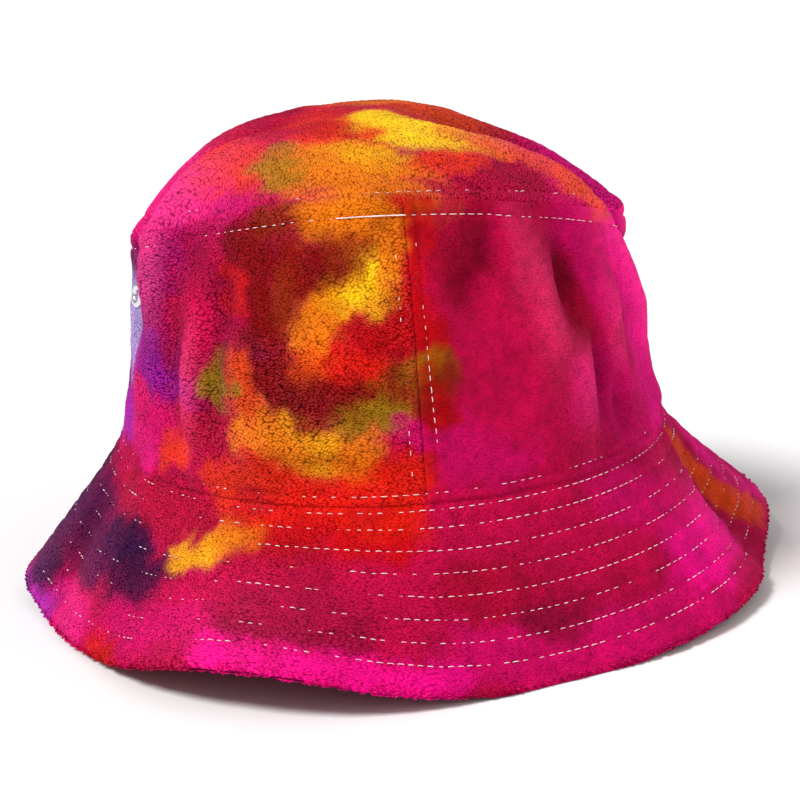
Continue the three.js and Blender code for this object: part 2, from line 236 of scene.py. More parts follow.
def tip_fold(x, y):
    """Height added to the tip: a propped ridge near the front, and the hollow behind it."""
    right = smooth(np.clip((x - 2) / 45, 0, 1))
    left = smooth(np.clip((-x - 12) / 35, 0, 1))
    ridge = 3.4 * right * bell(y + 42 - 0.05 * x, 10) + 2.4 * left * bell(y + 40, 12)
    hollow = 11.0 * right * bell(y + 19 - 0.10 * x, 14) + 1.2 * left * bell(y + 16, 9)
    sag = 2.6 * right * smooth(np.clip((y + 40) / 40, 0, 1))
    shoulder = 3.0 * bell(x + 58, 22) * smooth(np.clip((y + 75) / 30, 0, 1))
    return ridge - hollow - sag + shoulder


def tip_point(az, rho, drop=0.0):
    rim = crown_point(az, np.ones_like(az))
    middle_x = CENTRE[0] + TIP_SHIFT
    x = middle_x + (rim[..., 0] - middle_x) * rho
    y = CENTRE[1] + (rim[..., 1] - CENTRE[1]) * rho
    z = TOP_Z - (TOP_Z - rim_height(az)) * rho ** DOME_POWER - drop
    inner = 1 - rho ** 8
    z = z + tip_fold(x - middle_x, y - CENTRE[1]) * inner
    z = z + fractal(np.stack([x, y], -1), 30, 8) * 1.3 * (1 - rho ** 4)
    return np.stack([x, y, z], -1)


def brim_slope(az):
    return SLOPE_MEAN + sum(size * np.cos(count * (az - crest)) for count, size, crest in SLOPE_WAVES)


# Waves of the brim: (azimuth, share of the width, half width, half share, up).
BRIM_FOLDS = [
    (-64, 0.65, 6, 0.5, 2.4), (-76, 0.50, 5, 0.4, -1.6), (-88, 0.80, 10, 0.6, 4.2),
    (66, 0.40, 6, 0.5, 2.6), (80, 0.55, 6, 0.5, -2.8), (98, 0.85, 10, 0.6, 3.4),
    (-45, 0.60, 7, 0.3, -1.2), (30, 0.60, 9, 0.3, -1.0), (-25, 0.85, 12, 0.4, 1.0),
    (10, 0.95, 10, 0.4, -0.8), (45, 0.95, 9, 0.4, -0.6),
    (140, 0.80, 12, 0.5, 2.2), (170, 0.90, 12, 0.5, -1.5), (-140, 0.80, 12, 0.5, 2.0),
]


def brim_fold(az, s):
    out = np.zeros(np.broadcast(az, s).shape)
    for place, share, half_width, half_share, size in BRIM_FOLDS:
        across = bell(turn_from(az, place * DEG), half_width * DEG)
        out = out + size * across * bell(s - share, half_share)
    return out


def brim_point(az, s, depth=0.0):
    """A point of the brim, s from the seam (0) to the edge (1), depth into its thickness."""
    n = outward(az, SEAM_A, SEAM_B)
    width = BRIM_WIDTH - TRIM * bell(turn_from(az, -24 * DEG), 22 * DEG)
    curl = CURL_MEAN - CURL_SWING * np.cos(2 * az)
    chord = brim_slope(az) + curl * (1 - s)
    tangent = brim_slope(az) + curl * (1 - 2 * s)
    place = np.stack([np.sin(az) * 120, np.cos(az) * 120, s * BRIM_WIDTH], -1)
    ripple = fractal(place, 26, 21) * 0.9 + fractal(place, 9, 23) * 0.35 + brim_fold(az, s)
    lift = ripple * smooth(np.clip(s * 2.5, 0, 1)) - depth
    run = width * s * np.cos(chord) + lift * np.sin(tangent)
    z = SEAM_Z - width * s * np.sin(chord) + lift * np.cos(tangent)
    # Cloth that would hang below the floor rests on it, eased in by a soft maximum.
    rest = FLOOR_GAP + 0.2 * (BRIM_THICKNESS - depth)
    z = rest + (z - rest + np.sqrt((z - rest) ** 2 + 0.6)) / 2
    x = CENTRE[0] + SEAM_A * np.sin(az) + n[..., 0] * run
    y = CENTRE[1] - SEAM_B * np.cos(az) + n[..., 1] * run
    return np.stack([x, y, z], -1)


# ---- Dyes ----

def srgb(code):
    c = np.array([int(code[i:i + 2], 16) / 255 for i in (0, 2, 4)])
    return np.where(c <= 0.04045, c / 12.92, ((c + 0.055) / 1.055) ** 2.4)


UPTAKE = 0.76            # share of the light that dyed cloth gives back
PURITY = 0.88            # share of the white that the dye takes away


def dye(code):
    """Colour of dyed cloth from the colour it shows, purer because the pile scatters white light."""
    c = srgb(code)
    return UPTAKE * (c - PURITY * c.min())


DYES = {name: dye(code) for name, code in {
    "magenta": "cc0660", "hot_pink": "ee2486", "crimson": "a80430", "raspberry": "ba0644",
    "wine": "8c0634", "mulberry": "9c0c5c", "red": "b80610", "scarlet": "d42418",
    "vermilion": "dc4a1c", "orange": "e4781a", "amber": "f0a420", "yellow": "ffd010",
    "coral": "e05044", "rose": "dc4880", "maroon": "7a0e0c", "brown": "882808", "olive": "98741a",
    "plum": "4a0e3c", "navy": "1a1038", "violet": "8a2484", "lavender": "c070b8",
}.items()}
DYES["lilac"] = UPTAKE * srgb("b0a0d8")     # a lilac dye left pale, its paleness a painted sheen highlight on the grazing far-left side

# Strokes of dye: azimuth and place along the panel at both ends, radius in mm, strength, dye.
STROKES = {
    "tip": [
        # pink and coral on the left, the rose partly dye and partly a painted highlight along the left
        # shoulder
        (-110, 0.85, -62, 0.92, 16, 0.9, "rose"), (-64, 0.72, -40, 0.80, 11, 1.0, "coral"),
        (-100, 0.45, -60, 0.40, 14, 1.0, "crimson"), (-48, 0.95, -34, 0.94, 7, 0.9, "rose"),
        # the crest left of the yellow streak
        (-50, 0.30, -8, 0.50, 10, 1.2, "coral"), (-20, 0.44, -6, 0.48, 8, 0.9, "scarlet"),
        # the olive patch and the orange glow over the front
        (-31, 0.72, -22, 0.76, 7, 1.7, "olive"), (-16, 0.72, 6, 0.92, 9, 1.5, "orange"),
        (-6, 0.64, 4, 0.80, 6, 1.7, "amber"),
        # the yellow streak from the crest down to the right
        (-2, 0.36, 25, 0.61, 7, 2.6, "yellow"),
        # the ridge: orange, then vermilion
        (28, 0.60, 42, 0.72, 6, 1.6, "orange"), (44, 0.74, 62, 0.90, 5.5, 1.7, "vermilion"),
        # in front of the ridge, and behind it
        (14, 0.84, 26, 0.80, 6, 1.1, "coral"), (15, 0.96, 42, 0.92, 6, 1.5, "crimson"),
        (58, 0.62, 80, 0.80, 12, 1.6, "magenta"), (75, 0.95, 115, 0.80, 14, 1.3, "hot_pink"),
        (60, 0.30, 100, 0.30, 11, 1.4, "vermilion"),
        # out of sight behind the crest
        (165, 0.25, 180, 0.85, 16, 1.3, "orange"), (135, 0.55, 150, 0.85, 17, 1.2, "scarlet"),
        (-150, 0.45, -125, 0.60, 17, 1.2, "coral"), (-160, 0.92, -140, 0.86, 12, 1.1, "violet"),
    ],
    "side": [
        # dark above the left eyelets, below them lilac painted pale as a sheen highlight
        (-104, 0.90, -82, 0.86, 8, 1.5, "plum"), (-98, 0.72, -72, 0.62, 8, 3.0, "lilac"),
        (-92, 0.50, -76, 0.48, 7, 2.6, "lilac"), (-84, 0.34, -72, 0.40, 6, 1.3, "violet"),
        (-90, 0.16, -74, 0.22, 7, 1.8, "lavender"),
        # a painted pink highlight along the ridge from the tip seam to the eyelets, and violet beside the
        # lilac
        (-68, 0.94, -62, 0.78, 5, 1.4, "rose"), (-64, 0.60, -56, 0.48, 8, 1.4, "violet"),
        (-66, 0.34, -56, 0.20, 6, 1.1, "magenta"),
        # deep raspberry and mulberry
        (-52, 0.94, -56, 0.72, 7, 1.4, "mulberry"), (-42, 0.90, -46, 0.60, 8, 1.3, "raspberry"),
        (-48, 0.52, -44, 0.36, 6, 1.1, "mulberry"), (-36, 0.78, -36, 0.68, 4.5, 1.2, "scarlet"),
        # maroon down from the tip seam
        (-28, 0.90, -25, 0.56, 6, 1.7, "maroon"), (-16, 0.80, -5, 0.79, 5, 1.7, "maroon"),
        (-20, 0.64, -17, 0.74, 6, 1.2, "brown"),
        # brown and orange along the tip seam
        (-24, 0.95, -14, 0.92, 5, 1.2, "brown"), (-12, 0.93, 0, 0.94, 5, 1.5, "orange"),
        (-8, 0.86, 1, 0.87, 4, 1.2, "brown"), (3, 0.92, 4, 0.80, 3.5, 1.4, "orange"),
        # the gold stroke that leans down to the left
        (3, 0.74, -3, 0.76, 5, 2.3, "amber"), (0, 0.78, -6, 0.70, 3.5, 1.8, "yellow"),
        (-7, 0.70, -13, 0.56, 4.5, 1.9, "orange"), (-13, 0.54, -15, 0.44, 4, 1.5, "vermilion"),
        # red between it and the front seam
        (-4, 0.62, 2, 0.56, 6, 1.6, "red"), (-9, 0.50, -2, 0.44, 5, 1.3, "scarlet"),
        # the darkest patch, and the ochre band from it to the seam
        (-24, 0.44, -17, 0.38, 7, 2.4, "maroon"), (-27, 0.52, -25, 0.50, 4, 1.1, "plum"),
        (-13, 0.40, -6, 0.38, 5, 1.6, "maroon"), (-6, 0.34, 9, 0.40, 5, 1.6, "brown"),
        (0, 0.38, 8, 0.44, 3.5, 1.1, "olive"), (-9, 0.30, -1, 0.30, 4, 1.1, "olive"),
        # gold under it, orange and red round about
        (-18, 0.25, -14, 0.23, 4, 2.1, "amber"), (-27, 0.24, -8, 0.18, 5, 1.3, "orange"),
        (-30, 0.46, -28, 0.32, 3.5, 1.6, "vermilion"), (-36, 0.42, -34, 0.38, 4, 1.2, "olive"),
        (1, 0.24, 3, 0.22, 3, 1.4, "magenta"), (-46, 0.26, -36, 0.24, 6, 1.2, "crimson"),
        (-53, 0.13, -48, 0.14, 4, 1.5, "coral"), (-66, 0.12, -60, 0.10, 5, 1.1, "rose"),
        (-36, 0.05, -24, 0.08, 5, 1.1, "coral"), (-22, 0.06, 2, 0.07, 6, 1.4, "scarlet"),
        # right of the seam, red that soon turns crimson, magenta and hot pink
        (7, 0.96, 8, 0.62, 4.5, 1.8, "red"), (7, 0.56, 8, 0.30, 4, 1.3, "red"),
        (15, 0.90, 17, 0.70, 7, 1.4, "crimson"), (22, 0.60, 24, 0.15, 9, 1.0, "raspberry"),
        (12, 0.18, 24, 0.08, 7, 1.0, "magenta"), (32, 0.92, 34, 0.40, 9, 1.1, "raspberry"),
        (44, 0.78, 46, 0.52, 6, 1.3, "crimson"), (50, 0.92, 54, 0.60, 8, 1.2, "magenta"),
        (42, 0.34, 58, 0.14, 9, 1.1, "magenta"), (70, 0.90, 74, 0.40, 11, 1.4, "hot_pink"),
        (72, 0.20, 88, 0.18, 9, 1.4, "hot_pink"), (92, 0.70, 100, 0.35, 12, 1.2, "hot_pink"),
    ],
    "brim": [
        # navy at the far left, from the seam to near the edge
        (-104, 0.30, -86, 0.40, 11, 2.2, "navy"), (-100, 0.75, -82, 0.72, 9, 2.2, "navy"),
        (-78, 0.40, -62, 0.46, 8, 2.0, "plum"), (-62, 0.36, -52, 0.46, 6, 2.2, "navy"),
        (-54, 0.58, -42, 0.52, 6, 1.5, "plum"),
        # lavender, pink and a little red along the edge below it, the lavender and pink partly dye and
        # partly a painted sheen highlight on the grazing edge
        (-86, 0.97, -74, 0.94, 5, 1.8, "lavender"), (-72, 0.84, -62, 0.92, 6, 1.5, "rose"),
        (-52, 0.94, -47, 0.97, 4, 1.5, "scarlet"),
        # crimson under the seam, the amber spot and the red that spreads from it
        (-66, 0.14, -38, 0.12, 6, 1.3, "crimson"), (-38, 0.32, -32, 0.30, 4.5, 1.9, "amber"),
        (-32, 0.22, -26, 0.22, 5, 1.4, "orange"), (-28, 0.10, 2, 0.08, 6, 1.3, "scarlet"),
        (-24, 0.26, -4, 0.20, 6, 1.3, "red"),
        # raspberry and wine to a bright edge
        (-26, 0.40, -10, 0.36, 6, 1.1, "crimson"), (-38, 0.60, -12, 0.56, 8, 1.0, "raspberry"),
        (-24, 0.72, -8, 0.68, 7, 1.1, "wine"), (-50, 0.80, -30, 0.78, 7, 1.0, "magenta"),
        (-24, 0.95, 6, 0.97, 5, 1.1, "hot_pink"),
        # right of the front
        (-4, 0.42, 4, 0.64, 8, 1.0, "raspberry"), (6, 0.14, 30, 0.12, 7, 1.1, "raspberry"),
        (10, 0.44, 18, 0.46, 7, 1.1, "crimson"), (10, 0.80, 24, 0.84, 8, 1.0, "magenta"),
        (21, 0.58, 27, 0.64, 6, 1.1, "wine"), (30, 0.42, 42, 0.56, 8, 0.9, "raspberry"),
        (34, 0.84, 52, 0.88, 8, 1.1, "magenta"), (44, 0.16, 58, 0.30, 7, 1.2, "magenta"),
        (56, 0.62, 70, 0.60, 9, 1.3, "hot_pink"), (80, 0.22, 84, 0.44, 4.5, 2.0, "vermilion"),
        (86, 0.55, 92, 0.82, 4.5, 2.0, "vermilion"), (98, 0.35, 104, 0.90, 10, 1.3, "hot_pink"),
    ],
}
# Round the back the dyes run from magenta through orange to violet and navy, in blotches laid by chance.
BACK_DYES = [
    (105, ["magenta", "hot_pink", "magenta", "crimson"]),
    (128, ["raspberry", "vermilion", "rose", "magenta"]),
    (150, ["orange", "scarlet", "maroon", "amber"]),
    (172, ["amber", "orange", "brown", "yellow"]),
    (192, ["scarlet", "orange", "maroon", "raspberry"]),
    (214, ["wine", "violet", "rose", "magenta"]),
    (236, ["violet", "plum", "lavender", "wine"]),
    (258, ["navy", "plum", "violet", "navy"]),
]
BACK_SEED = 11
BACK_ROWS = {"side": 7, "brim": 5}


def add_back_blotches():
    """Adds two blotches to every row of each back place in STROKES."""
    rng = np.random.default_rng(BACK_SEED)
    for azimuth, names in BACK_DYES:
        for panel, rows in BACK_ROWS.items():
            for row in range(rows):
                for _ in range(2):
                    where = (azimuth + rng.normal(0, 7), (row + rng.uniform(0.1, 0.9)) / rows)
                    radius, strength = rng.uniform(4.5, 9), rng.uniform(1.0, 1.6)
                    STROKES[panel].append((*where, *where, radius, strength, names[rng.integers(4)]))


GROUND_DYE = ("raspberry", 0.06)
SURFACES = {"tip": tip_point, "side": crown_point, "brim": brim_point}
FALL_OFF = 1.3           # how fast a dye thins out beyond its radius
FADED = 3.0              # no dye is left this many radii away
PATCHINESS = 1.1         # how unevenly the cloth takes each dye up


def stroke_path(panel, azimuths, places, radius):
    """Points along a stroke, no more than about half its radius apart."""
    ends = SURFACES[panel](np.array(azimuths) * DEG, np.array(places))
    count = 1 + math.ceil(2 * np.linalg.norm(ends[1] - ends[0]) / radius)
    return SURFACES[panel](np.linspace(*azimuths, count) * DEG, np.linspace(*places, count))


def dye_at(p):
    """Colour that the dye leaves at points p, with ragged edges where the dyes met."""
    wander = np.stack([fractal(p, 22, 31 + 7 * k, 3) for k in range(3)], -1)
    creep = np.stack([noise(p, 3.2, 61 + 7 * k) for k in range(3)], -1)
    q = p + 4.6 * wander + 2.0 * creep
    patches = [fractal(p, 10, 131 + 7 * k, 3) for k in range(4)]
    total = np.full(p.shape[:-1], GROUND_DYE[1])
    colour = total[..., None] * DYES[GROUND_DYE[0]]
    strokes = [(panel, *stroke) for panel in STROKES for stroke in STROKES[panel]]
    for i, (panel, az0, place0, az1, place1, radius, strength, name) in enumerate(strokes):
        path = stroke_path(panel, (az0, az1), (place0, place1), radius)
        middle = path.mean(0)
        reach = np.max(np.linalg.norm(path - middle, axis=-1)) + FADED * radius
        near = np.sum((q - middle) ** 2, -1) < reach ** 2
        distance = np.min([np.sum((q[near] - point) ** 2, -1) for point in path], axis=0)
        weight = strength * np.exp(PATCHINESS * patches[i % 4][near] - FALL_OFF * distance / radius ** 2)
        total[near] += weight
        colour[near] += weight[:, None] * DYES[name]
    colour = colour / total[..., None]
    uptake = 1 + 0.16 * fractal(p, 9, 91, 3) + 0.10 * noise(p, 1.6, 95)
    return np.clip(colour * uptake[..., None], 0.002, 0.97)


# ---- Terry loops ----

def terry(u, v, seed, strength):
    """Height of the loops, about 0 to 1. strength is 1 for open loops and less for brushed nap."""
    p = np.stack([u, v], -1)
    bend = 2.0 * fractal(p, 14, seed + 3, 2)
    sway = 2.0 * fractal(p, 11, seed + 9, 2)
    f, own = cells((u + sway) / CLUMP, (v + bend) / (CLUMP * 0.8), seed)
    clump = np.clip(1.1 - 1.1 * f, 0, 1) * (0.6 + 0.4 * own)
    nap = 0.5 + 0.3 * noise(p, CLUMP, seed + 17)
    return strength * clump + (1 - strength) * nap


# ---- Meshes ----

def add_mesh(name, points, polygons, material, attributes=None, uv=None):
    """A mesh object from points in mm. polygons is a list of index arrays, each (count, corners)."""
    mesh = bpy.data.meshes.new(name)
    mesh.vertices.add(len(points))
    mesh.vertices.foreach_set("co", (np.asarray(points) * MM).astype(np.float32).ravel())
    corners = np.concatenate([np.asarray(p).ravel() for p in polygons]).astype(np.int32)
    sizes = np.concatenate([np.full(len(p), np.asarray(p).shape[1]) for p in polygons])
    starts = np.concatenate([[0], np.cumsum(sizes)[:-1]]).astype(np.int32)
    mesh.loops.add(len(corners))
    mesh.loops.foreach_set("vertex_index", corners)
    mesh.polygons.add(len(sizes))
    mesh.polygons.foreach_set("loop_start", starts)
    mesh.polygons.foreach_set("use_smooth", np.ones(len(sizes), dtype=bool))
    mesh.update(calc_edges=True)
    for key, values in (attributes or {}).items():
        if values.ndim == 2:
            layer = mesh.color_attributes.new(key, "FLOAT_COLOR", "POINT")
            rgba = np.concatenate([values, np.ones((len(values), 1))], 1)
            layer.data.foreach_set("color", rgba.astype(np.float32).ravel())
        else:
            layer = mesh.attributes.new(key, "FLOAT", "POINT")
            layer.data.foreach_set("value", values.astype(np.float32))
    if uv is not None:
        layer = mesh.uv_layers.new(name="cloth")
        layer.data.foreach_set("uv", uv[corners].astype(np.float32).ravel())
    mesh.materials.append(material)
    obj = bpy.data.objects.new(name, mesh)
    bpy.context.scene.collection.objects.link(obj)
    return obj


def grid_normals(p, wrap):
    """Unit normals of a grid of points, pointing along d/du x d/dv."""
    if wrap:
        du = np.roll(p, -1, 0) - np.roll(p, 1, 0)
    else:
        du = np.gradient(p, axis=0)
    return unit(np.cross(du, np.gradient(p, axis=1)))


def grid_faces(nu, nv, wrap, flip, offset=0):
    i = np.arange(nu if wrap else nu - 1)
    j = np.arange(nv - 1)
    i, j = np.meshgrid(i, j, indexing="ij")
    k = (i + 1) % nu
    quads = np.stack([i * nv + j, k * nv + j, k * nv + j + 1, i * nv + j + 1], -1).reshape(-1, 4) + offset
    return quads[:, ::-1] if flip else quads


def border(nu, nv, wrap):
    """Grid corners of the outline, as (i, j) pairs, in order. A wrapped grid has two outlines."""
    if wrap:
        return [[(i, 0) for i in range(nu)], [(i, nv - 1) for i in range(nu)][::-1]]
    path = [(i, 0) for i in range(nu - 1)] + [(nu - 1, j) for j in range(nv - 1)]
    path += [(i, nv - 1) for i in range(nu - 1, 0, -1)] + [(0, j) for j in range(nv - 1, 0, -1)]
    return [path]


def tube_faces(count, rows, sides):
    """Walls and end caps of count separate tubes, each made of rows rings of sides points."""
    first = (np.arange(count) * rows * sides)[:, None, None]
    a = np.arange(rows - 1)[:, None]
    k = np.arange(sides)[None]
    m = (k + 1) % sides
    walls = np.stack([a * sides + k, a * sides + m, (a + 1) * sides + m, (a + 1) * sides + k], -1)
    ends = np.stack([np.arange(sides)[::-1], (rows - 1) * sides + np.arange(sides)])
    return (first[..., None] + walls[None]).reshape(-1, 4), (first + ends[None]).reshape(-1, sides)


def sheet_mesh(name, face, back, step, wrap, side, material, attributes=None, uv=None):
    """A closed piece of cloth: a fine face, a back with every step-th point, and an edge between."""
    nu, nv = face.shape[:2]
    mu, mv = back.shape[:2]
    count = nu * nv
    normal = grid_normals(face, wrap)
    flip = np.mean(np.sum(normal * (face - INSIDE), -1)) * side < 0
    polygons = [grid_faces(nu, nv, wrap, flip), grid_faces(mu, mv, wrap, not flip, count)]
    rims = []
    for path in border(nu, nv, wrap):
        for a in range(0, len(path), step):
            fine = [path[(a + b) % len(path)] for b in range(step + 1)]
            ends = [(fine[0][0] // step, fine[0][1] // step), (fine[-1][0] // step, fine[-1][1] // step)]
            coarse = [count + i * mv + j for i, j in ends]
            rim = [i * nv + j for i, j in fine][::-1] + coarse
            rims.append(rim[::-1] if flip else rim)
    polygons.append(np.array(rims))
    points = np.concatenate([face.reshape(-1, 3), back.reshape(-1, 3)])
    return add_mesh(name, points, polygons, material, attributes, uv)


def steps(length, spacing, multiple):
    return max(1, round(length / spacing / multiple)) * multiple


def roll_in(distance, radius=EDGE_ROLL):
    """How far a sewn edge has turned in, at a distance from its seam line."""
    x = np.clip(1 - distance / radius, 0, 1)
    return radius * (1 - np.sqrt(1 - x * x * 0.98))


def groove(distance, depth=0.5, width=1.0):
    return depth * bell(distance, width)


def finish_piece(obj, node_name, body=HAT):
    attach(obj, body)
    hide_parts(node_name)


RIDGE_HIGHLIGHT, RELIEF_SHADING = 0.035, 0.11                # painted ridge highlight, and painted light and shade, for each mm of relief
HIGHLIGHT_PINK = np.array([0.80, 0.16, 0.38])   # colour of the painted highlight on ridges


def paint_relief_shading(colour, relief):
    """Paints the folds' light and shade into the colour: paler and lighter on a ridge, darker and deeper in
    a hollow. relief is in mm.
    """
    lean = np.clip(relief, -4, 4)[..., None]
    pale = RIDGE_HIGHLIGHT * np.maximum(lean, 0)
    return colour * (1 + RELIEF_SHADING * lean) * (1 - pale) + pale * HIGHLIGHT_PINK


UV_TILE = 100            # mm of cloth along one unit of its texture
BACK_PILE = 0.6          # height of the loops on the plain back
BACK_STEP = 4            # the plain back has every fourth point of the face
SEEDS = {
    "crown_tip": 101, "crown_side_left": 202, "crown_side_right": 303,
    "brim_top": 404, "brim_underside": 505,
}


def cloth_piece(node_name, base, uv_mm, inset, strength, relief, wrap=False, side=1, pile=PILE):
    """Puts loops on a base surface, turns its edges in and closes it with a flat back."""
    normal = grid_normals(base, wrap)
    if np.mean(np.sum(normal * (base - INSIDE), -1)) * side < 0:
        normal = -normal
    u, v = uv_mm
    loops = terry(u, v, SEEDS[node_name], strength)
    lift = pile * (loops - 0.5) - inset
    face = base + normal * lift[..., None]
    pick = (slice(None, None, BACK_STEP), slice(None, None, BACK_STEP))
    back = base[pick] - normal[pick] * CLOTH
    # the face's colour is the dye with the folds' painted shade and highlight
    cloth_colour = np.concatenate([paint_relief_shading(dye_at(base), relief).reshape(-1, 3), dye_at(back).reshape(-1, 3)])
    height = np.concatenate([loops.ravel(), np.full(back.shape[0] * back.shape[1], BACK_PILE)])
    openness = np.broadcast_to(strength, u.shape)
    openness = np.concatenate([openness.ravel(), openness[pick].ravel()])
    face_uv = np.stack([u, v], -1)
    uv = np.concatenate([face_uv.reshape(-1, 2), face_uv[pick].reshape(-1, 2)]) / UV_TILE
    attributes = {"dye": cloth_colour, "pile": height, "loops": openness}
    obj = sheet_mesh("terry_" + node_name, face, back, BACK_STEP, wrap, side, TERRY, attributes, uv)
    finish_piece(obj, node_name)


# ---- Materials ----

def new_material(name):
    material = bpy.data.materials.new(name)
    material.use_nodes = True
    nodes = material.node_tree.nodes
    return material, nodes, nodes["Principled BSDF"]


def feed(target, **inputs):
    """Sets a node's inputs by name, each to a value or to the output that feeds it."""
    for key, value in inputs.items():
        socket = target.inputs[key.replace("_", " ")]
        if isinstance(value, bpy.types.NodeSocket):
            target.id_data.links.new(value, socket)
        else:
            socket.default_value = value


def node(nodes, kind, settings=None, **inputs):
    made = nodes.new("ShaderNode" + kind)
    for key, value in (settings or {}).items():
        setattr(made, key, value)
    feed(made, **inputs)
    return made


def emboss(nodes, shader, height, strength, distance):
    bump = node(nodes, "Bump", Height=height, Strength=strength, Distance=distance)
    feed(shader, Normal=bump.outputs["Normal"])


def mottled(nodes, shader, scale, detail, low, high, spread=(0.0, 1.0)):
    """Base colour that drifts from low to high over spread of a noise. Returns coordinates and noise."""
    place = node(nodes, "TexCoord").outputs["Object"]
    grain = node(nodes, "TexNoise", Vector=place, Scale=scale, Detail=detail).outputs["Fac"]
    ramp = node(nodes, "ValToRGB", Fac=grain)
    for element, position, colour in zip(ramp.color_ramp.elements, spread, (low, high)):
        element.position = position
        element.color = (*colour, 1)
    feed(shader, Base_Color=ramp.outputs["Color"])
    return place, grain


def terry_material():
    """Dyed loops in rough rows, with painted shade in the gaps and a painted highlight on the tops, brushed
    flat where loops is low.
    """
    material, nodes, shader = new_material("terry_cloth")

    def attribute(name, output):
        return node(nodes, "Attribute", {"attribute_name": name}).outputs[output]

    def combined(kind, operation, *values):
        """Result of a math node on values and outputs, taken in order."""
        made = node(nodes, kind, {"operation": operation})
        for socket, value in zip(made.inputs, values):
            if isinstance(value, bpy.types.NodeSocket):
                made.id_data.links.new(value, socket)
            else:
                socket.default_value = value
        return made.outputs[0]

    def mix_colours(factor, first, second):
        made = node(nodes, "Mix", {"data_type": "RGBA"}, Factor=factor)
        for name, value in (("A", first), ("B", second)):
            socket = [i for i in made.inputs if i.type == "RGBA" and i.name == name][0]
            if isinstance(value, tuple):
                socket.default_value = value
            else:
                made.id_data.links.new(value, socket)
        return [o for o in made.outputs if o.type == "RGBA"][0]

    def scaled(colour, share):
        made = node(nodes, "VectorMath", {"operation": "SCALE"}, Vector=colour, Scale=share)
        return made.outputs["Vector"]

    # the dye attribute carries the dye with the folds' painted shade and highlight
    cloth_colour, pile, loops = attribute("dye", "Color"), attribute("pile", "Fac"), attribute("loops", "Fac")
    place = node(nodes, "UVMap", {"uv_map": "cloth"}).outputs["UV"]
    drift = node(nodes, "TexNoise", Vector=place, Scale=5.0, Detail=1.5).outputs["Color"]
    bent = combined("VectorMath", "MULTIPLY_ADD", drift, (0.09, 0.09, 0.0), place)
    rows = node(nodes, "Mapping", Vector=bent, Scale=(95.0, 150.0, 1.0), Rotation=(0.0, 0.0, 0.45))
    rows = rows.outputs["Vector"]
    cell = node(nodes, "TexVoronoi", {"voronoi_dimensions": "2D", "feature": "SMOOTH_F1"},
                Vector=rows, Scale=1.0, Randomness=0.75, Smoothness=0.25)
    fibre = node(nodes, "TexNoise", Vector=rows, Scale=3.2, Detail=2.0, Roughness=0.6)
    nap_grain = node(nodes, "Mapping", Vector=bent, Scale=(60.0, 210.0, 1.0)).outputs["Vector"]
    nap = node(nodes, "TexNoise", Vector=nap_grain, Scale=1.0, Detail=3.0, Roughness=0.65)

    loop = combined("Math", "MULTIPLY_ADD", cell.outputs["Distance"], -1.35, 1.02)
    loop = combined("Math", "MULTIPLY_ADD", fibre.outputs["Fac"], 0.45, loop)
    brushed = combined("Math", "MULTIPLY_ADD", nap.outputs["Fac"], 0.9, 0.22)
    blend = node(nodes, "Mix", Factor=loops, A=brushed, B=loop).outputs["Result"]
    height = combined("Math", "MULTIPLY_ADD", pile, 0.35, blend)

    # painted shade and highlight: the gaps between loops darkened and deepened, the loop tops brightened
    shade = node(nodes, "MapRange", Value=height, From_Min=0.25, From_Max=1.15, To_Min=0.0, To_Max=1.0)
    # a painted pink sheen highlight on the highest loop tops
    tip_highlight = node(nodes, "MapRange", Value=height, From_Min=1.05, From_Max=1.5, To_Min=0.0, To_Max=0.16)
    deep = node(nodes, "Gamma", Color=cloth_colour, Gamma=1.6).outputs["Color"]
    cloth = mix_colours(shade.outputs["Result"], scaled(deep, 0.28), scaled(cloth_colour, 1.75))
    tip_highlight_share = combined("Math", "MULTIPLY", tip_highlight.outputs["Result"], loops)
    feed(shader, Base_Color=mix_colours(tip_highlight_share, cloth, (0.95, 0.34, 0.46, 1)))
    emboss(nodes, shader, height, 0.8, 0.0005)
    feed(shader, Roughness=0.95, Specular_IOR_Level=0.05)
    feed(shader, Sheen_Weight=0.12, Sheen_Roughness=0.35, Sheen_Tint=(1.0, 0.10, 0.55, 1))
    return material


def woven_material(name, colour, scale, depth=0.35, spread=0.16, rough=0.9):
    """Plain woven cloth or tape: crossed yarns with a little colour variation."""
    material, nodes, shader = new_material(name)
    low, high = colour * (1 - spread), np.minimum(colour * (1 + spread), 1)
    place, _ = mottled(nodes, shader, scale * 0.12, 4.0, low, high)
    warp = node(nodes, "TexWave", {"bands_direction": "DIAGONAL"},
                Vector=place, Scale=scale, Distortion=0.6, Detail=1.0)
    emboss(nodes, shader, warp.outputs["Fac"], depth, 0.0002)
    feed(shader, Roughness=rough, Sheen_Weight=0.2)
    return material


def thread_material():
    """Undyed polyester thread, twisted, mottled with pink painted as light reflected from the dyed pile
    around it.
    """
    material, nodes, shader = new_material("white_thread")
    # the pink is a painted reflection of the dyed pile, mottled over the white
    pink_reflection, white = (0.86, 0.56, 0.62), (0.97, 0.93, 0.92)
    place, _ = mottled(nodes, shader, 140.0, 2.0, pink_reflection, white, (0.3, 0.62))
    twist = node(nodes, "TexWave", {"bands_direction": "DIAGONAL"}, Vector=place, Scale=900.0)
    emboss(nodes, shader, twist.outputs["Fac"], 0.3, 0.00008)
    feed(shader, Roughness=0.5)
    return material


def nickel_material():
    material, nodes, shader = new_material("nickel")
    _, wear = mottled(nodes, shader, 700.0, 3.0, (0.70, 0.71, 0.73), (0.90, 0.90, 0.90))
    rough = node(nodes, "MapRange", Value=wear, To_Min=0.16, To_Max=0.34)
    feed(shader, Roughness=rough.outputs["Result"], Metallic=1.0)
    return material


